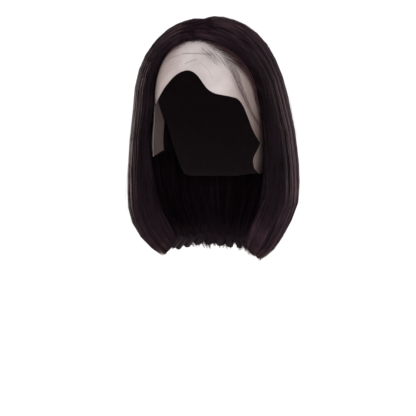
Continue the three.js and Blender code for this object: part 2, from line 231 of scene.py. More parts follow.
# Share of the drop: how far the inner face lies in as it curls under, as a share of HAIR_LAYER
LEFT_INNER = (
    (0, 0), (0.33, 0), (0.45, -0.06), (0.6, -0.06), (0.76, 0.07), (0.86, 0.3), (0.93, 0.6), (1, 0.84),
)
RIGHT_INNER = (
    (0, 0), (0.33, 0), (0.45, -0.15), (0.6, -0.15), (0.76, 0.04), (0.86, 0.3), (0.93, 0.6), (1, 0.84),
)

LEFT = {
    "sign": 1, "front_turn": 72, "bow": 9, "drift": 5, "bare": 0, "trim": 3.4,
    "outer": LEFT_HAIR, "inner": LEFT_INNER,
    "tab": LEFT_TAB, "tab_depth": 207, "tab_top": 155, "tab_length": 30, "tab_sway": 19, "tab_flare": 3,
}
RIGHT = {
    "sign": -1, "front_turn": 45, "bow": 0, "drift": 5, "bare": 1, "trim": 5.2,
    "outer": RIGHT_HAIR, "inner": RIGHT_INNER,
    "tab": RIGHT_TAB, "tab_depth": 171, "tab_top": 102, "tab_length": 72, "tab_sway": 0, "tab_flare": 15,
}


# The wig's form


def read(table, at):
    """Reads a table between its rows along a smooth curve that passes through each row."""
    keys, values = np.array(table, float).T
    last = len(keys) - 1
    at = np.clip(at, keys[0], keys[-1])
    k = np.clip(np.searchsorted(keys, at, side="right") - 1, 0, last - 1)
    before, after = np.maximum(np.arange(last + 1) - 1, 0), np.minimum(np.arange(last + 1) + 1, last)
    slope = (values[after] - values[before]) / (keys[after] - keys[before])
    span = keys[k + 1] - keys[k]
    t = (at - keys[k]) / span
    rise = values[k + 1] - values[k]
    bend = (slope[k] * span - rise) * (1 - t) - (slope[k + 1] * span - rise) * t
    return values[k] + rise * t + bend * t * (1 - t)


def blend(start, end, share):
    return start + (end - start) * share


def smooth_step(value, start, end):
    """0 up to the start, 1 from the end on, and an even rise between them."""
    t = np.clip((value - start) / (end - start), 0, 1)
    return t * t * (3 - 2 * t)


def crowded(steps, power):
    """Steps from 0 to 1 that lie closer towards 1."""
    return 1 - (1 - steps) ** power


def unit(vectors):
    """Vectors made one long."""
    return vectors / np.maximum(np.linalg.norm(vectors, axis=-1, keepdims=True), 1e-9)


def quarter_round(distance, radius):
    """0 at an edge, 1 from the given distance on."""
    t = np.clip(distance / radius, 0, 1)
    return np.sqrt(1 - (1 - t) ** 2)


def head_share(depth):
    """How wide the head form is at a depth, as a share of its widest level."""
    up = np.clip(1 - depth / WIDEST_DEPTH, 0, 1)
    down = np.clip((depth - WIDEST_DEPTH) / (CAP_DEPTH - WIDEST_DEPTH), 0, None)
    dome = np.clip(1 - up**DOME_POWER, 0, 1) ** (1 / DOME_POWER)
    return np.where(depth < WIDEST_DEPTH, dome, 1 - NAPE_TAPER * down**TAPER_POWER)


def dome_depth(share):
    rise = (1 - np.clip(share, 0, 1) ** DOME_POWER) ** (1 / DOME_POWER)
    return WIDEST_DEPTH * (1 - rise)


def on_head(turn, depth, offset):
    """Places on the head form, or off it along its normal. The turn is in radians."""
    turn, depth, offset = np.broadcast_arrays(turn, depth, offset)
    share = head_share(depth)
    length = np.where(np.cos(turn) > 0, HEAD_FRONT, HEAD_BACK)
    x = HEAD_HALF_WIDTH * share * np.sin(turn)
    y = -length * share * np.cos(turn)
    flat = share ** (DOME_POWER - 2)
    rise = np.clip(1 - depth / WIDEST_DEPTH, 0, 1) ** (DOME_POWER - 1) / WIDEST_DEPTH
    normal = unit(np.stack([flat * x / HEAD_HALF_WIDTH**2, flat * y / length**2, rise], -1))
    return np.stack([x, y, -depth], -1) + normal * offset[..., None]


def lean(places):
    """Tilts places on the head form a little to the wearer's left, as the worn cap sits."""
    x, y, z = np.moveaxis(places, -1, 0)
    cosine, sine = math.cos(LEAN), math.sin(LEAN)
    return np.stack([x * cosine - z * sine, y, x * sine + z * cosine], -1)


def by_side(turn, key):
    """A value of the side that each turn lies on."""
    return np.where(turn < 0, RIGHT[key], LEFT[key])


def on_cap(turn_deg, depth, offset):
    """Places on the worn cap or lace, with the ear tabs swaying forward and flaring out."""
    away = np.abs(turn_deg)
    down = smooth_step((depth - by_side(turn_deg, "tab_top")) / by_side(turn_deg, "tab_length"), 0, 1)
    loose = down * smooth_step(away, *FLARE_START_TURNS)
    swaying = loose * (1 - smooth_step(away, *SWAY_END_TURNS))
    turn = turn_deg - by_side(turn_deg, "sign") * by_side(turn_deg, "tab_sway") * swaying
    return lean(on_head(np.radians(turn), depth, offset + by_side(turn_deg, "tab_flare") * loose))


def seam_depth(turn_deg):
    return CAP_DEPTH * read(LACE_SEAM, np.abs(turn_deg))


def lace_edge_depth(turn_deg):
    trimmed = CAP_DEPTH * read(LACE_EDGE, turn_deg)
    shown = np.where(turn_deg < 0, read(RIGHT_TAB, -turn_deg), read(LEFT_TAB, turn_deg))
    return blend(trimmed, by_side(turn_deg, "tab_depth"), shown)


def cap_edge_depth(turn_deg):
    away = np.abs(turn_deg)
    nape = CAP_DEPTH * read(NAPE_EDGE, away)
    return np.where(away <= LACE_END_TURN, seam_depth(turn_deg) - SEAM_GAP, nape)


def root(side, sweep):
    """Where a strand is rooted, seen from above: along the parting, then round its crown end."""
    half = PARTING_WIDTH / 2
    along = np.clip(sweep / PARTING_END_SHARE, 0, 1)
    angle = np.clip(sweep - PARTING_END_SHARE, 0, None) / (1 - PARTING_END_SHARE) * math.pi / 2
    x = blend(PARTING_FRONT[0], PARTING_CROWN[0], along) + side["sign"] * half * np.cos(angle)
    y = blend(PARTING_FRONT[1], PARTING_CROWN[1], along) + half * np.sin(angle)
    return x, y


def hang_turn(side, sweep, down=0.0):
    """Where a strand hangs: the front ones swing back from the face below the widest level."""
    fall = down * (FRONT_DROP - WIDEST_DEPTH)
    drift = side["drift"] * (1 - np.exp(-fall / DRIFT_LENGTH)) * (1 - sweep) ** 4
    return side["sign"] * np.radians(blend(side["front_turn"], 180, sweep) + drift)


def on_dome(side, sweep, along):
    """A strand's turn and depth from its root to the head's widest level, and its distance from the root."""
    from_x, from_y = root(side, sweep)
    turn = hang_turn(side, sweep)
    to_x = HEAD_HALF_WIDTH * np.sin(turn)
    to_y = -np.where(np.cos(turn) > 0, HEAD_FRONT, HEAD_BACK) * np.cos(turn)
    chord_x, chord_y = to_x - from_x, to_y - from_y
    chord = np.hypot(chord_x, chord_y)
    bow = side["bow"] * 4 * along * (1 - along) * (1 - sweep) ** 2 * side["sign"] / chord
    x = from_x + chord_x * along + chord_y * bow
    y = from_y + chord_y * along - chord_x * bow
    length = np.where(y < 0, HEAD_FRONT, HEAD_BACK)
    share = np.hypot(x / HEAD_HALF_WIDTH, y / length)
    return np.arctan2(x / HEAD_HALF_WIDTH, -y / length), dome_depth(share), np.hypot(x - from_x, y - from_y)


def hem_drop(turn):
    behind = (1 - np.cos(turn)) / 2
    return FRONT_DROP - BACK_RISE * behind + SIDE_DROP_DIFFERENCE * np.sin(turn)


def in_hair(turn, drop, offset, shortening):
    """Places in the hair: over the leaning head to its widest level, then hanging straight down."""
    depth = np.minimum(drop * FRONT_DROP, WIDEST_DEPTH)
    seated = lean(on_head(turn, depth, 0.0))
    place = lean(on_head(turn, depth, offset))
    share = np.clip((drop - WIDEST_SHARE) / (1 - WIDEST_SHARE), 0, None)
    fall = share * (hem_drop(turn) - shortening + seated[..., 2])
    place[..., 0] += math.tan(LEAN) * LEAN_FADE * (1 - np.exp(-fall / LEAN_FADE))
    place[..., 2] -= fall
    return place


def sweep_length(side):
    return math.radians(180 - side["front_turn"]) * (HEAD_HALF_WIDTH + HEAD_BACK) / 2


def reaches(side):
    """From and to which sweep the hair of the side and the hair of the back lie."""
    gap = NODE_GAP / 2 / sweep_length(side)
    return (0, BACK_START_SHARE - gap), (BACK_START_SHARE + gap, 1)


def lock_rows(side):
    """The locks round one half of the wig: by sweep, how far each stands out and how much shorter it is."""
    rows = []
    numbers = ((LOCKS_PER_SIDE, 0), (LOCKS_PER_HALF_BACK, LOCKS_PER_SIDE))
    for (start, end), (locks, first) in zip(reaches(side), numbers):
        places = [(i, phase) for i in range(locks) for phase in LOCK_STEPS] + [(locks, 0)]
        for i, phase in places:
            crest = math.sqrt(math.sin(math.pi * phase))
            number = first + i
            relief = LOCK_LIFT * math.sin(number * LOCK_RHYTHM) - LOCK_RELIEF * (1 - crest)
            tip = LOCK_TIP * (1 - crest + math.cos(number * LOCK_RHYTHM) ** 2)
            rows.append((blend(start, end, (i + phase) / locks), relief, tip))
    return np.array(rows).T


LOCK_ROWS = {side["sign"]: lock_rows(side) for side in (LEFT, RIGHT)}


def hair_share(face, side, sweep, drop):
    """Reads a face of the hair on one side. At the middle of the back it is the mean of both sides."""
    both = (read(LEFT[face], drop) + read(RIGHT[face], drop)) / 2
    return blend(read(side[face], drop), both, sweep)


def hair_place(side, sweep, travel, level, proud=0.0, shorter=0.0):
    """Places in the hair, in millimetres. sweep runs from the hairline (0) to the middle of the back (1),
    travel from the root (0) over the head (1) to the hem (2), and level from the inner face (0) to the outer
    (1)."""
    sweep, travel, level, proud, shorter = np.broadcast_arrays(sweep, travel, level, proud, shorter)
    hanging = travel > 1
    down = np.clip(travel - 1, 0, 1)
    dome_turn, depth, from_root = on_dome(side, sweep, np.clip(travel, 0, 1))
    turn = np.where(hanging, hang_turn(side, sweep, down), dome_turn)
    drop = np.where(hanging, blend(WIDEST_SHARE, 1, down), depth / FRONT_DROP)
    from_parting = np.where(hanging, PARTING_ROUND, from_root)
    swell = HAIR_LAYER * hair_share("outer", side, sweep, drop)
    tuck = HAIR_LAYER * hair_share("inner", side, sweep, drop)
    from_front = quarter_round(sweep * sweep_length(side), FRONT_ROUND)
    layer = (swell + tuck) * from_front * quarter_round(from_parting, PARTING_ROUND)
    sweeps, reliefs, tips = LOCK_ROWS[side["sign"]]
    relief = np.clip(travel, 0, 1) * np.interp(sweep, sweeps, reliefs)
    tip = np.interp(sweep, sweeps, tips)
    thickness = np.maximum(layer + relief, ROOT_THICKNESS)
    cut = HEM_CUT * np.clip(1 - thickness / (swell + tuck), 0, None)
    offset = CAP_WALL + SEAT_GAP - tuck + level * thickness + proud
    return in_hair(turn, drop, offset, tip + blend(HEM_CUT, cut, np.clip(level, 0, 1)) + shorter)


# Meshes


def new_object(name, points, faces, sizes):
    """A mesh object from points in millimetres and the corners of its faces, run together."""
    mesh = bpy.data.meshes.new(name)
    mesh.vertices.add(len(points))
    mesh.vertices.foreach_set("co", (points * MM).astype(np.float32).ravel())
    mesh.loops.add(len(faces))
    mesh.loops.foreach_set("vertex_index", faces.astype(np.int32))
    mesh.polygons.add(len(sizes))
    starts = np.concatenate([[0], np.cumsum(sizes)[:-1]])
    mesh.polygons.foreach_set("loop_start", starts.astype(np.int32))
    mesh.update(calc_edges=True)
    mesh.validate()
    mesh.shade_smooth()
    made = bpy.data.objects.new(name, mesh)
    bpy.context.scene.collection.objects.link(made)
    return made


def set_map(made, values):
    """Gives each corner of the mesh the value of its vertex, in a UV map that the materials read."""
    mesh = made.data
    corners = np.empty(len(mesh.loops), np.int32)
    mesh.loops.foreach_get("vertex_index", corners)
    layer = mesh.uv_layers.new(name="Fibre")
    layer.data.foreach_set("uv", values[corners].astype(np.float32).ravel())


def tubes(middles, facing, widths, tones, travel):
    """Strands as closed, three-sided tubes along their middle lines, flattened to lie on the hair and drawn
    out to a point at both ends. Gives points, corners, face sizes and the map's values: a tone and the way
    from the root."""
    count, steps, _ = middles.shape
    along = np.gradient(middles, axis=1)
    across = unit(np.cross(along, facing))
    out = unit(np.cross(across, along))
    half = widths[..., None] / 2
    ridge, foot = out * TUBE_RIDGE, out * TUBE_FOOT
    corners = (ridge, across - foot, -across - foot)
    rings = np.stack([middles + half * corner for corner in corners], axis=2)[:, 1:-1]
    inner = steps - 2
    points = np.concatenate([middles[:, :1], rings.reshape(count, inner * 3, 3), middles[:, -1:]], axis=1)
    size = inner * 3 + 2
    last = size - 4
    triangles, quads = [], []
    for k in range(3):
        n = (k + 1) % 3
        triangles += [(0, 1 + k, 1 + n), (size - 1, last + n, last + k)]
        quads += [(a + k, a + 3 + k, a + 3 + n, a + n) for a in range(1, last, 3)]
    shift = (np.arange(count) * size)[:, None, None]
    faces = np.concatenate([(np.array(shape)[None] + shift).ravel() for shape in (triangles, quads)])
    sizes = np.concatenate([np.full(count * len(triangles), 3), np.full(count * len(quads), 4)])
    values = np.stack(np.broadcast_arrays(tones, travel / 2), -1)
    values = np.concatenate([values[:, :1], np.repeat(values[:, 1:-1], 3, axis=1), values[:, -1:]], axis=1)
    return points.reshape(-1, 3), faces, sizes, values.reshape(-1, 2)


def strands(name, *groups):
    """Groups of strands as one mesh."""
    points, faces, sizes, values = zip(*[tubes(*group) for group in groups])
    starts = np.cumsum([0] + [len(p) for p in points[:-1]])
    faces = np.concatenate([f + start for f, start in zip(faces, starts)])
    made = new_object(name, np.concatenate(points), faces, np.concatenate(sizes))
    set_map(made, np.concatenate(values))
    return made


def shell(name, outer, inner):
    """A closed body between two grids of points. Columns run round to the wearer's left, rows run down."""
    columns, rows, _ = outer.shape
    points = np.concatenate([outer.reshape(-1, 3), inner.reshape(-1, 3)])
    o = np.arange(columns * rows).reshape(columns, rows)
    i = o + columns * rows
    sides = [
        (o[:-1, :-1], o[:-1, 1:], o[1:, 1:], o[1:, :-1]),
        (i[:-1, :-1], i[1:, :-1], i[1:, 1:], i[:-1, 1:]),
        (o[:-1, 0], o[1:, 0], i[1:, 0], i[:-1, 0]),
        (o[1:, -1], o[:-1, -1], i[:-1, -1], i[1:, -1]),
        (o[0, 1:], o[0, :-1], i[0, :-1], i[0, 1:]),
        (o[-1, :-1], o[-1, 1:], i[-1, 1:], i[-1, :-1]),
    ]
    faces = np.concatenate([np.stack(corners, -1).reshape(-1, 4) for corners in sides])
    return new_object(name, points, faces.ravel(), np.full(len(faces), 4))


def hair_body(name, parts):
    """The mass of hair under the strands. Each part is a side with the sweeps of its columns."""
    along = crowded(np.linspace(0, 1, BODY_DOME_STEPS)[:-1], BODY_DOME_CROWDING)
    down = crowded(np.linspace(0, 1, BODY_HANG_STEPS), BODY_HANG_CROWDING)
    travel = np.concatenate([along, 1 + np.maximum(down, 1e-6)])
    outer, inner, values = [], [], []
    for side, sweeps in parts:
        outer.append(hair_place(side, sweeps[:, None], travel[None], 1.0, -BODY_SINK, BODY_SHORTER))
        inner.append(hair_place(side, sweeps[:, None], travel[None], 0.0, 0.0, BODY_SHORTER))
        across = side["sign"] * (sweeps - 1) * sweep_length(side)
        values.append(np.stack(np.broadcast_arrays(across[:, None], travel[None]), -1))
    made = shell(name, np.concatenate(outer), np.concatenate(inner))
    values = np.concatenate(values).reshape(-1, 2)
    set_map(made, np.concatenate([values, values]))
    return made


# Strands

# Steps along a strand, as travel: over the head, down to the hem, and those of the shorter ends
DOME = np.array([0, 0.012, 0.03, 0.06, 0.11, 0.18, 0.27, 0.38, 0.5, 0.64, 0.8])
DOME = crowded(DOME, STRAND_CROWDING)
HANG = 1 + np.array([0, 0.22, 0.43, 0.56, 0.66, 0.76, 0.86, 0.94, 1])
WHOLE = np.concatenate([DOME, HANG])
LOWER = 1 + np.array([0.3, 0.5, 0.65, 0.77, 0.87, 0.94, 1])
HEM = 1 + np.array([0.55, 0.7, 0.81, 0.9, 0.96, 1])
CROSSING_STEPS = 9


def tufts(side):
    """The tufts the hair gathers in at the hem: where each begins, how it sways, lifts and runs long."""
    rng = np.random.default_rng(TUFT_SEED + side["sign"])
    starts = np.cumsum(np.append(0, rng.uniform(*TUFT_WIDTHS, TUFT_COUNT))) / sweep_length(side)
    return starts, rng.normal(0, 1, (TUFT_COUNT + 1, 3))


def streak_tones(side):
    """Random tones on a grid over one half of the wig: by sweep across, by travel down."""
    columns = int(sweep_length(side) / STREAK_WIDTH) + 2
    return np.random.default_rng(STREAK_SEED + side["sign"]).uniform(0, 1, (columns, STREAK_STEPS))


TUFTS = {side["sign"]: tufts(side) for side in (LEFT, RIGHT)}
STREAKS = {side["sign"]: streak_tones(side) for side in (LEFT, RIGHT)}


def streak(side, sweep, travel):
    """Whether a place lies in a lighter (1) or a darker (0) streak of the hair."""
    tones = STREAKS[side["sign"]]
    across = np.clip(sweep * sweep_length(side) / STREAK_WIDTH, 0, tones.shape[0] - 1.001)
    down = np.clip(travel / 2 * (STREAK_STEPS - 1), 0, STREAK_STEPS - 1.001)
    i, j = across.astype(int), down.astype(int)
    s, t = across - i, down - j
    return blend(blend(tones[i, j], tones[i + 1, j], s), blend(tones[i, j + 1], tones[i + 1, j + 1], s), t)


def hair_tone(side, own, sweep, travel, raised):
    """A strand's tone from dark (0) to light (1): its own, its streak's, painted light low on the hem where
    it turns under and where it stands off the rest, and painted shade towards the face."""
    sweep, travel, raised = np.broadcast_arrays(sweep, travel, raised)
    from_front = sweep * sweep_length(side)
    # Painted shade: the hair is drawn darker towards the face.
    shaded = TONE["front"] * np.exp(-from_front / FRONT_SHADE_REACH) * smooth_step(travel, 0.4, 1)
    shaded *= 1 - 0.5 * smooth_step(travel, 1.5, 2)
    # Painted light: the hair is drawn lighter low on the hem, where it turns under.
    curl_light = TONE["curl_light"] * smooth_step(travel, 1.3, 1.85)
    beat = 0.55 + 0.45 * np.sin(2 * math.pi * (own * 9 + travel * 3.5))
    own = TONE["streak"] * streak(side, sweep, travel) ** 1.5 + TONE["own"] * own**3 * beat
    # Painted light: strands that stand off the rest are drawn lighter.
    own += TONE["raised"] * smooth_step(raised, 0.1, 1.1)
    return np.clip(TONE["base"] + own - shaded + curl_light, 0, 1)


def hairs(side, kind):
    """The random draws, the number and the width of a kind of hair on one side."""
    left, right, width, seed = HAIRS[kind]
    return np.random.default_rng(seed + side["sign"]), left if side["sign"] > 0 else right, width


def each(rng, count, low, high):
    """A random value for each strand."""
    return rng.uniform(low, high, (count, 1))


def uneven(rng, count, size, longest):
    """How much shorter each strand ends, in millimetres: most by little, a few by much."""
    return rng.gamma(2.0, size, (count, 1)) - longest


def wander(rng, count, travel, size):
    """A small, smooth, random swing along each strand."""
    swing = np.zeros((count, len(travel)))
    for k in (1, 2):
        phase = each(rng, count, 0, 2 * math.pi)
        swing += rng.normal(0, size / k, (count, 1)) * np.sin(phase + travel[None] * k * math.pi)
    return swing


def spread(rng, count, start, end):
    """Random places between the start and the end, evenly spread."""
    return blend(start, end, (np.arange(count) + rng.uniform(0, 1, count)) / count)


def lay(side, rng, sweep, level, travel, width, proud, shorter=0.0, swing=0.9, gather=0.4, lift=TUFT_LIFT):
    """Strands in the hair, from their places in the sweep and their levels. They swing a little on their
    way, and gather in tufts towards the hem."""
    count = len(sweep)
    starts, fall = TUFTS[side["sign"]]
    tuft = np.clip(np.searchsorted(starts, sweep) - 1, 0, len(starts) - 2)
    sway, stand, length = fall[tuft].T[..., None]
    centre = ((starts[tuft] + starts[tuft + 1]) / 2)[:, None]
    free = np.clip(travel, 0, 1)[None]
    low = smooth_step(travel, *GATHER_RANGE)[None]
    aside = wander(rng, count, travel, swing) * free + TUFT_SWAY * sway * low
    sweeps = sweep[:, None] + aside / sweep_length(side) + gather * (centre - sweep[:, None]) * low
    # What swings past the hairline or the middle of the back is turned back
    sweeps = np.where(sweeps < 0, -sweeps * 0.3, np.where(sweeps > 1, 2 - sweeps, sweeps))
    raised = proud + np.abs(wander(rng, count, travel, 0.25))
    proud = raised + lift * stand * free
    trim = side["trim"] * smooth_step(sweep, *TRIM_STARTS) * (1 - smooth_step(sweep, *TRIM_FADES))
    shorter = shorter + TUFT_LENGTH * length + trim[:, None]
    middles = hair_place(side, sweeps, travel[None], level[:, None], proud, shorter)
    facing = hair_place(side, sweeps, travel[None], level[:, None], proud + 1, shorter) - middles
    closing = blend(PARTING_CLOSE, CROWN_CLOSE, smooth_step(sweep, *CLOSING_EASES))
    closing = (closing * (1 - smooth_step(sweep, *CLOSING_FADES)))[:, None]
    middles[..., 0] -= side["sign"] * closing * (1 - smooth_step(travel, 0, CLOSING_REACH))[None]
    grown = 0.6 + 0.4 * np.minimum(travel / ROOT_GROWTH, 1)
    tapered = grown * (1 - 0.5 * smooth_step(travel, *TIP_RANGE))
    widths = width * each(rng, count, *WIDTH_RANGE) * tapered[None]
    tones = hair_tone(side, each(rng, count, 0, 1), sweeps, travel[None], raised)
    return middles, facing, widths, tones, travel[None]


def outer_hair(side, kind, start, end):
    """The hair that shows from outside."""
    rng, count, width = hairs(side, kind)
    level = 1 - 0.1 * rng.uniform(0, 1, count) ** 1.5
    shorter = uneven(rng, count, 1.0, 4.5)
    proud = each(rng, count, -0.4, 0.1) + 0.7 * each(rng, count, 0, 1) ** 5
    return lay(side, rng, spread(rng, count, start, end), level, WHOLE, width, proud, shorter)


def crossing_hair(side, kind, start, end, heights):
    """Hair along the parting that starts on its other side and falls over it."""
    rng, count, width = hairs(side, kind)
    travel = DOME[:CROSSING_STEPS]
    near = 1 - smooth_step(travel, 0.02, 0.3)[None]
    sweep = rng.uniform(start, end, count)
    proud = each(rng, count, *heights) * near
    middles, facing, widths, tones, way = lay(side, rng, sweep, np.ones(count), travel, width, proud)
    middles[..., 0] -= side["sign"] * each(rng, count, 0, 5) * near
    return middles, facing, widths, tones * 0.7, way


def hem_hair(side, kind, start, end):
    """The ends of the hair in between, which fill the hem."""
    rng, count, width = hairs(side, kind)
    level = 0.92 * rng.uniform(0, 1, count) ** 0.8
    shorter = uneven(rng, count, 1.5, 4.5)
    middles, facing, widths, tones, travel = lay(
        side, rng, spread(rng, count, start, end), level, HEM, width, 0.0, shorter, gather=0.55
    )
    # Painted shade: strands that lie deeper in the hem are drawn darker.
    return middles, facing, widths, tones * (0.15 + 0.85 * level[:, None] ** 4), travel


def inner_hair(side, kind, start, end):
    """The hair that shows on the inside, below the cap."""
    rng, count, width = hairs(side, kind)
    level = rng.uniform(-0.03, 0.06, count)
    shorter = uneven(rng, count, 2.0, 4)
    sweep = spread(rng, count, start, end)
    middles, facing, widths, _, travel = lay(
        side, rng, sweep, level, LOWER, width, 0.0, shorter, swing=2.2, gather=0.15, lift=0.1
    )
    # Their tones are kept low: painted shade on the inside of the hair.
    return middles, facing, widths, each(rng, count, 0.1, 0.48), travel


def swept_hair(side):
    """Wisps at the inner side of the front hem that sweep aside under the chin."""
    rng, count, width = hairs(side, "swept")
    sweep = rng.uniform(0.03, 0.16, count)
    level = rng.uniform(0, 0.5, count)
    middles, facing, widths, tones, travel = lay(
        side, rng, sweep, level, HEM, width, 0.0, each(rng, count, -3, 2), gather=0.1
    )
    aside = SWEPT_REACH * each(rng, count, 0.3, 1) * np.clip((travel - 1.7) / 0.3, 0, 1) ** 2
    middles[..., 0] -= side["sign"] * aside
    middles[..., 2] += 0.12 * aside
    return middles, facing, widths * (1 - 0.5 * np.clip((travel - 1.8) / 0.2, 0, 1)), tones * 0.5, travel


def edge_hair(side):
    """The hair along the front edge, which fills it from the inner face to the outer."""
    rng, count, width = hairs(side, "edge")
    sweep = EDGE_BAND / sweep_length(side) * rng.uniform(0, 1, count) ** 1.6
    level = rng.uniform(0, 1, count)
    return lay(side, rng, sweep, level, WHOLE, width, 0.0, uneven(rng, count, 1.5, 4))


def stray_hair(side):
    """Single hairs that stand off the rest."""
    rng, count, width = hairs(side, "stray")
    start = each(rng, count, 0, 1.5)
    t = np.clip((WHOLE[None] - start) / each(rng, count, 0.3, 0.9), 0, 1)
    proud = rng.gamma(2.0, 0.7, (count, 1)) * np.sin(math.pi * t) ** 2
    shorter = each(rng, count, -4, 14)
    sweep = rng.uniform(0, 1, count)
    return lay(side, rng, sweep, np.ones(count), WHOLE, width, proud, shorter, swing=2.5, gather=0.1)


def hairline(side, travel):
    """Places on the hairline, and the ways back into the hair and off the lace from them."""
    edge = hair_place(side, 0.0, travel, 0.0)
    behind = unit(hair_place(side, 0.03, travel, 0.0) - edge)
    off = hair_place(side, 0.0, travel, 0.0, 1.0) - edge
    return edge, behind, off


def root_hair(side):
    """Fine hairs knotted into the lace in front of the hairline, which run back into the hair."""
    rng, count, width = hairs(side, "root")
    start = 0.96 * spread(rng, count, 0, 1)[:, None] ** 1.4
    ahead = np.minimum(rng.gamma(1.8, 1.5, (count, 1)), ROOT_REACH)
    ahead *= 1 - side["bare"] * smooth_step(start, 0.3, 0.6)
    length = each(rng, count, 0.1, 0.2)
    t = np.linspace(0, 1, 8)[None]
    travel = np.minimum(start + length * t, 1)
    own = hair_place(side, each(rng, count, 0.02, 0.06) * t, travel, 1.0, 0.15)
    edge, behind, off = hairline(side, start)
    flow = unit(hair_place(side, 0.0, start + 0.02, 0.0) - edge)
    knot = edge - behind * ahead[..., None] - off * ROOT_SINK
    knot[..., 0] -= side["sign"] * each(rng, count, 0, 4) * (1 - smooth_step(start, 0, 0.12))
    leaving = (behind * 0.8 + flow) * (ahead + 3)[..., None] * t[..., None]
    leaving = knot + leaving + off * (2.2 * t * (1 - t))[..., None]
    middles = leaving + (own - leaving) * smooth_step(t, 0.1, 0.75)[..., None]
    facing = np.broadcast_to(off, middles.shape)
    widths = width * each(rng, count, 0.6, 1.2) * (0.7 + 0.3 * t)
    return middles, facing, widths, each(rng, count, 0.25, 0.75), travel


def veil_hair(side):
    """Long fine hairs that lie on the lace beside the hairline and run down into the hair."""
    rng, count, width = hairs(side, "veil")
    start = spread(rng, count, 0.12, 0.75 - 0.45 * side["bare"])[:, None]
    end = np.minimum(start + each(rng, count, 0.25, 0.6 - 0.2 * side["bare"]), 1.12)
    t = np.linspace(0, 1, 12)[None]
    travel = blend(start, end, t)
    ahead = VEIL_REACH * each(rng, count, 0.1, 1) ** 1.3 * (1 - t**1.5) * np.minimum(start / 0.35, 1)
    edge, behind, off = hairline(side, travel)
    bend = wander(rng, count, t[0], 0.8)
    middles = edge - behind * (ahead + bend)[..., None] + off * each(rng, count, -0.4, 0.6)[..., None]
    widths = width * each(rng, count, 0.6, 1.2) * (0.35 + 0.65 * np.minimum(t / 0.2, 1))
    return middles, off, widths, each(rng, count, 0.5, 1), travel


def along_route(route, share):
    """The turn and the depth at a share of the way along a route on the head."""
    keys = np.linspace(0, 1, len(route))
    return [read(list(zip(keys, values)), share) for values in np.array(route, float).T]


def on_lace(turn, depth, height):
    """Middle lines of hairs on the lace, and the way off it."""
    middles = on_cap(turn, depth, height)
    return middles, on_cap(turn, depth, height + 1) - middles


def loose_hair():
    """Locks of a few hairs that have fallen over the temple of the lace, each along its own route."""
    rng = np.random.default_rng(LOOSE_SEED)
    groups = []
    t = np.linspace(0, 1, 16)[None]
    tapered = 0.25 + 0.75 * np.minimum(np.minimum(t / 0.1, (1 - t) / 0.25), 1)
    for hairs, apart, width, route in LOOSE_LOCKS:
        turn, depth = along_route(route, t)
        bend = wander(rng, hairs, t[0], 0.5) + rng.normal(0, apart, (hairs, 1)) * (1 - 0.7 * t)
        turn = turn + bend / 1.4
        depth = depth + rng.normal(0, 1.5, (hairs, 1)) * t
        height = LACE_WALL + 0.5 + np.abs(rng.normal(0, 0.5, (hairs, 1)))
        middles, facing = on_lace(turn, depth, height)
        widths = width * each(rng, hairs, 0.7, 1.2) * tapered
        groups.append((middles, facing, widths, each(rng, hairs, 0.7, 1), t))
    return groups


def temple_hair():
    """Single hairs spread over the lace of the temple, which run down and back into the hair."""
    rng, count, width = hairs(LEFT, "temple")
    t = np.linspace(0, 1, 14)[None]
    place = spread(rng, count, 0, 1)[:, None] ** 0.8
    start = each(rng, count, 0, 0.5) * each(rng, count, 0, 1)
    end = start + each(rng, count, 0.15, 0.4) + 0.5 * place**3 * each(rng, count, 0, 1)
    along = blend(start, np.minimum(end, 1), t)
    near, far = [along_route(route, along) for route in TEMPLE_BAND]
    turn, depth = [blend(beside_face, beside_hair, place) for beside_face, beside_hair in zip(near, far)]
    turn += (wander(rng, count, t[0], 0.6) + rng.normal(0, 2.5, (count, 1)) * t) / MM_PER_DEGREE
    height = LACE_WALL + 0.4 + np.abs(rng.normal(0, 0.4, (count, 1)))
    middles, facing = on_lace(turn, depth, height)
    tapered = 0.4 + 0.6 * np.minimum(np.minimum(t / 0.1, (1 - t) / 0.3), 1)
    widths = width * each(rng, count, 0.6, 1.2) * tapered
    return middles, facing, widths, each(rng, count, 0.5, 1), t


# Materials


def linear(colour):
    """An sRGB hex colour as the linear values that shaders take."""
    parts = [int(colour[i : i + 2], 16) / 255 for i in (1, 3, 5)]
    return [p / 12.92 if p <= 0.04045 else ((p + 0.055) / 1.055) ** 2.4 for p in parts] + [1]


def add_node(tree, kind, inputs=None, stops=(), **settings):
    """Adds a node with its settings, and fills its inputs with values or links them to other nodes' outputs.
    A colour ramp also gets its stops."""
    made = tree.nodes.new(kind)
    for name, value in settings.items():
        setattr(made, name, value)
    for key, value in (inputs or {}).items():
        if isinstance(value, bpy.types.NodeSocket):
            tree.links.new(value, made.inputs[key])
        else:
            made.inputs[key].default_value = value
    for i, (place, colour) in enumerate(stops):
        elements = made.color_ramp.elements
        element = elements[i] if i < 2 else elements.new(place)
        element.position = place
        element.color = linear(colour)
    return made


def new_material(name, sockets):
    """A material, its node tree and its shader, with the values of the shader's own sockets."""
    material = bpy.data.materials.new(name)
    material.use_nodes = True
    tree = material.node_tree
    shader = tree.nodes["Principled BSDF"]
    for socket, value in sockets.items():
        shader.inputs[socket].default_value = value
    return material, tree, shader


def new_hair(name, gloss, roughness):
    """What all hair materials have: a low gloss with a plum cast, and the map that they read."""
    sockets = {"Roughness": roughness, "IOR": 1.5, "Specular IOR Level": gloss}
    material, tree, shader = new_material(name, sockets | {"Specular Tint": linear("#dfb4c8")})
    return material, tree, shader, add_node(tree, "ShaderNodeUVMap", uv_map="Fibre").outputs["UV"]


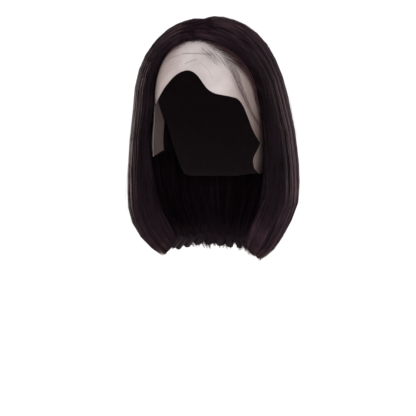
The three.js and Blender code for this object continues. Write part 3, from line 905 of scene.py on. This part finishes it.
def new_net(name, sockets, hole, randomness, relief):
    """What both nets have: holes of a size with their relief, and the map of the flat cloth."""
    material, tree, shader = new_material(name, sockets)
    across = add_node(tree, "ShaderNodeUVMap", uv_map="Fibre").outputs["UV"]
    holes = {"Vector": across, "Scale": 1 / hole, "Randomness": randomness}
    cells = add_node(tree, "ShaderNodeTexVoronoi", holes, feature="DISTANCE_TO_EDGE").outputs["Distance"]
    bump = add_node(tree, "ShaderNodeBump", {"Height": cells, **relief})
    tree.links.new(bump.outputs["Normal"], shader.inputs["Normal"])
    return material, tree, shader, across, cells


def hair_fibre(name, gloss, roughness):
    """Processed human hair, dyed off-black with a plum cast: each strand has its own tone, and some ends are
    browner. The ends and the inner hair are duller than the combed outer hair."""
    material, tree, shader, fibre = new_hair(name, gloss, roughness)
    tone, way, _ = add_node(tree, "ShaderNodeSeparateXYZ", {"Vector": fibre}).outputs
    stops = ((0, "#040304"), (0.25, "#100a0f"), (0.5, "#241a21"), (0.75, "#402d31"), (1, "#5c413f"))
    colour = add_node(tree, "ShaderNodeValToRGB", {"Fac": tone}, stops).outputs["Color"]
    tips = add_node(tree, "ShaderNodeMapRange", {"Value": way, "From Min": 0.965, "From Max": 1.0})
    light = add_node(tree, "ShaderNodeMath", {0: tone, 1: 2.0}, operation="POWER")
    tips = add_node(
        tree, "ShaderNodeMath", {0: tips.outputs["Result"], 1: light.outputs["Value"]}, operation="MULTIPLY"
    )
    mixed = add_node(
        tree, "ShaderNodeMix", {0: tips.outputs["Value"], 6: colour, 7: linear("#8a6a5c")}, data_type="RGBA"
    )
    tree.links.new(mixed.outputs[2], shader.inputs["Base Color"])
    return material


def hair_mass():
    """The same hair where it lies too close to show single strands: streaks along it."""
    material, tree, shader, fibre = new_hair("hair_mass", 0.08, 0.7)
    # Streaks about 0.8 mm wide: single hairs of 0.08 mm would be too fine to show.
    stretched = add_node(tree, "ShaderNodeMapping", {"Vector": fibre, "Scale": (1.25, 1.5, 1)})
    streaks = {"Vector": stretched.outputs["Vector"], "Scale": 1, "Detail": 3, "Roughness": 0.7}
    height = add_node(tree, "ShaderNodeTexNoise", streaks).outputs["Fac"]
    stops = ((0.3, "#0f0b10"), (0.55, "#1a1218"), (0.75, "#281c22"))
    colour = add_node(tree, "ShaderNodeValToRGB", {"Fac": height}, stops).outputs["Color"]
    tree.links.new(colour, shader.inputs["Base Color"])
    bump = add_node(tree, "ShaderNodeBump", {"Height": height, "Strength": 0.5, "Distance": 0.4 * MM})
    tree.links.new(bump.outputs["Normal"], shader.inputs["Normal"])
    return material


def lace_net():
    """Swiss lace, a soft knotted polyamide net in taupe: matt and darker at the knots of the hairline. Its
    tone also carries painted shade: over the wearer's left temple and ear tab, above the right eye, on the
    inner part of the right ear tab, where it hangs free, and in fine brown lines along its creases. On the
    ear tabs this shade also stands for the dark hair seen through the net."""
    relief = {"Strength": 0.3, "Distance": 0.2 * MM}
    material, tree, shader, across, cells = new_net(
        "taupe_swiss_lace", {"Roughness": 0.75}, LACE_HOLE, 0.25, relief
    )
    cloud = {"Vector": across, "Scale": 0.035, "Detail": 2}
    cloud = add_node(tree, "ShaderNodeTexNoise", cloud).outputs["Fac"]
    stops = ((0.3, "#b0a4a2"), (0.7, "#c4bbba"))
    net = add_node(tree, "ShaderNodeValToRGB", {"Fac": cloud}, stops).outputs["Color"]
    place = add_node(tree, "ShaderNodeAttribute", attribute_name="Tone").outputs["Fac"]
    threads = add_node(
        tree, "ShaderNodeMapRange", {"Value": cells, "From Max": 0.2, "To Min": 1.06, "To Max": 0.97}
    )
    tone = add_node(tree, "ShaderNodeMath", {0: place, 1: threads.outputs["Result"]}, operation="MULTIPLY")
    colour = add_node(
        tree, "ShaderNodeMix", {0: tone.outputs["Value"], 6: linear("#46291f"), 7: net}, data_type="RGBA"
    )
    tree.links.new(colour.outputs[2], shader.inputs["Base Color"])
    return material


def cap_net():
    """Stretch net of polyamide and elastane in dark brown: matt, a fine knit."""
    sockets = {"Roughness": 0.9, "Specular IOR Level": 0.15}
    relief = {"Strength": 0.5, "Distance": 0.4 * MM}
    material, tree, shader, _, cells = new_net("dark_stretch_net", sockets, CAP_HOLE, 0.3, relief)
    stops = ((0.04, "#2b1f24"), (0.22, "#0b0709"))
    colour = add_node(tree, "ShaderNodeValToRGB", {"Fac": cells}, stops).outputs["Color"]
    tree.links.new(colour, shader.inputs["Base Color"])
    return material


def dress(piece, material, slot, *nodes):
    """Gives a piece its material, the body it rides on and the nodes it stands for. The slot is not used."""
    piece.data.materials.append(material)
    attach(piece, "root")
    if nodes:
        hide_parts(*nodes)


# Studio


def make_studio():
    """A plain white floor in even white light."""
    bpy.ops.object.select_all(action="DESELECT")
    bpy.ops.mesh.primitive_plane_add(size=FLOOR_SIZE, location=(0, 0, FLOOR_HEIGHT))
    floor = bpy.context.object
    floor.name = "studio_floor"
    paint = {"Base Color": linear("#f6f6f6"), "Roughness": 0.9}
    material, _, _ = new_material("white_studio_floor", paint)
    floor.data.materials.append(material)
    world = bpy.data.worlds.new("soft_white_studio")
    world.use_nodes = True
    background = world.node_tree.nodes["Background"]
    background.inputs["Color"].default_value = (*WHITE, 1)
    background.inputs["Strength"].default_value = WORLD_STRENGTH
    bpy.context.scene.world = world
    bpy.context.scene.view_settings.view_transform = "Standard"


def make_light(name, place, aim, size, power, colour):
    """A rectangular lamp that faces a place."""
    bpy.ops.object.light_add(type="AREA", location=place)
    lamp = bpy.context.object
    lamp.name = name
    lamp.data.shape = "RECTANGLE"
    lamp.data.size, lamp.data.size_y = size
    lamp.data.energy = power
    lamp.data.color = colour
    lamp.rotation_euler = (Vector(aim) - Vector(place)).to_track_quat("-Z", "Y").to_euler()


def make_camera():
    """The camera at the photograph's angle."""
    turn, rise = math.radians(CAMERA_TURN_DEG), math.radians(CAMERA_RISE_DEG)
    back = Vector((math.sin(turn) * math.cos(rise), -math.cos(turn) * math.cos(rise), math.sin(rise)))
    bpy.ops.object.camera_add(location=Vector(CAMERA_AIM) + back * CAMERA_DISTANCE)
    camera = bpy.context.object
    camera.rotation_euler = (-back).to_track_quat("-Z", "Y").to_euler()
    camera.data.lens = CAMERA_LENS
    bpy.context.scene.camera = camera


make_camera()
make_studio()
for light in LIGHTS:
    make_light(*light)


# The hair

fibre = hair_fibre("hair_fibre", 0.24, 0.4)
dull_fibre = hair_fibre("hair_fibre_ends", 0.03, 0.8)
mass = hair_mass()

(left_reach, left_back), (right_reach, right_back) = reaches(LEFT), reaches(RIGHT)
BODIES = {
    "hair_left": [(LEFT, np.linspace(*left_reach, 100))],
    "hair_right": [(RIGHT, np.linspace(*right_reach, 110)[::-1])],
    "hair_back": [(LEFT, np.linspace(*left_back, 80)), (RIGHT, np.linspace(*right_back, 80)[:-1][::-1])],
}
for node, parts in BODIES.items():
    dress(hair_body(f"{node}_body", parts), mass, "hair", node)

for side, node, reach in ((LEFT, "hair_left", left_reach), (RIGHT, "hair_right", right_reach)):
    outer = strands(f"{node}_strands", outer_hair(side, "outer", *reach))
    dress(outer, fibre, "hair", node)
    ends = strands(
        f"{node}_ends",
        hem_hair(side, "hem", *reach),
        inner_hair(side, "inner", *reach),
        edge_hair(side),
        stray_hair(side),
        root_hair(side),
        *[crossing_hair(side, kind, *row) for kind, row in CROSSINGS.items()],
        veil_hair(side),
        swept_hair(side),
    )
    dress(ends, dull_fibre, "hair", node)


def back_hair(make, kind):
    """Hair of one kind on both halves of the back."""
    return [make(side, kind, *reach) for side, reach in ((LEFT, left_back), (RIGHT, right_back))]


dress(strands("hair_back_strands", *back_hair(outer_hair, "back_outer")), fibre, "hair", "hair_back")
ends = strands("hair_back_ends", *back_hair(hem_hair, "back_hem"), *back_hair(inner_hair, "back_inner"))
dress(ends, dull_fibre, "hair", "hair_back")
dress(strands("loose_temple_locks", *loose_hair(), temple_hair()), fibre, "hair")


# The lace and the cap


def sheet_piece(name, grid, place, goes_round=False):
    """A sheet of cloth: a flat grid that is laid on the head form and given its thickness."""
    bpy.ops.object.select_all(action="DESELECT")
    bpy.ops.mesh.primitive_grid_add(x_subdivisions=grid[0], y_subdivisions=grid[1], size=2, calc_uvs=False)
    made = bpy.context.object
    made.name = name
    made.data.name = name
    flat = np.empty(len(made.data.vertices) * 3)
    made.data.vertices.foreach_get("co", flat)
    across, down = (flat.reshape(-1, 3)[:, :2].T + 1) / 2
    points, values, tones = place(across, 1 - down)
    made.data.vertices.foreach_set("co", (points * MM).astype(np.float32).ravel())
    set_map(made, values)
    made.data.attributes.new("Tone", "FLOAT", "POINT").data.foreach_set("value", tones.astype(np.float32))
    if goes_round:
        bpy.ops.object.mode_set(mode="EDIT")
        bpy.ops.mesh.select_all(action="SELECT")
        bpy.ops.mesh.remove_doubles(threshold=0.01 * MM)
        bpy.ops.mesh.normals_make_consistent(inside=False)
        bpy.ops.object.mode_set(mode="OBJECT")
    solid = made.modifiers.new("thickness", "SOLIDIFY")
    solid.thickness = SHEET_THICKNESS * MM
    solid.offset = 0
    bpy.ops.object.modifier_apply(modifier="thickness")
    made.data.shade_smooth()
    return made


def from_hairline(turn_deg, depth):
    """How far a place on the lace lies in front of the hairline, in millimetres: behind it, less than 0."""
    along = np.linspace(0, 1, 60)
    distance = np.empty(np.shape(turn_deg))
    away = np.abs(turn_deg)
    for side in (LEFT, RIGHT):
        turns, depths, _ = on_dome(side, 0.0, along)
        below = depth - np.interp(away, side["sign"] * np.degrees(turns), depths)
        beside = (side["front_turn"] + side["drift"] - away) * MM_PER_DEGREE
        distance = np.where(turn_deg * side["sign"] >= 0, np.minimum(below, beside), distance)
    return distance


def to_line(across, down, line):
    """How far places on the flat lace lie from a line of points."""
    nearest = np.full(np.shape(across), 1e9)
    for (ax, ay), (bx, by) in zip(line[:-1], line[1:]):
        span = (bx - ax) ** 2 + (by - ay) ** 2
        t = np.clip(((across - ax) * (bx - ax) + (down - ay) * (by - ay)) / span, 0, 1)
        nearest = np.minimum(nearest, np.hypot(across - blend(ax, bx, t), down - blend(ay, by, t)))
    return nearest


def lace_place(across, down):
    """Where the lace lies, its place on the flat lace, and its tone: darker at the knots of the hairline,
    and with painted shade over the wearer's left temple and ear tab, above the right eye, on the inner part
    of the right ear tab that faces inward, and in the creases."""
    turn = blend(-LACE_END_TURN, LACE_END_TURN, across)
    depth = blend(seam_depth(turn), lace_edge_depth(turn), down)
    flat = np.stack([turn * MM_PER_DEGREE, depth], -1)
    away = np.abs(from_hairline(turn, depth))
    knots = 0.5 * np.exp(-away / 3.5) + 0.12 * np.exp(-away / 14)
    # Painted shade over the wearer's left temple, under the hanging hair, carried on over the left ear tab,
    # where it also stands for the dark hair seen through the net.
    temple = 0.74 * smooth_step(turn, 34, 64)
    # Painted shade above the wearer's right eye.
    brow_shade = 0.5 * smooth_step(-turn, 0, 30) * (1 - smooth_step(-turn, 44, 50))
    # Painted shade on the inner part of the right ear tab, which also stands for the dark hair seen through
    # the net.
    right_tab_shade = 0.8 * smooth_step(-turn, 63.5, 68)
    tone = 1 - np.clip(knots + temple + brow_shade + right_tab_shade, 0, 0.85)
    crease = np.zeros(np.shape(turn))
    for line, strength in CREASES:
        crease = np.maximum(crease, strength * np.exp(-((to_line(*flat.T, line) / CREASE_WIDTH) ** 2)))
    points = on_cap(turn, depth, LACE_WALL / 2 + CREASE_HEIGHT * crease)
    # Painted shade darkens the lace along its creases.
    return points, flat, tone * (1 - CREASE_SHADE * crease)


def cap_place(across, down):
    """Where the cap lies, its place on the flat cap, and its tone, which is even."""
    turn = blend(-180, 180, across)
    depth = cap_edge_depth(turn) * down**CAP_CROWDING
    points = lean(on_head(np.radians(turn), depth, CAP_WALL / 2))
    return points, np.stack([turn * MM_PER_DEGREE, depth], -1), np.ones(np.shape(turn))


lace = sheet_piece("lace_front_net", LACE_GRID, lace_place)
dress(lace, lace_net(), "lace", "lace_front")

cap = sheet_piece("stretch_cap_net", CAP_GRID, cap_place, goes_round=True)
dress(cap, cap_net(), "cap_net", "stretch_cap")
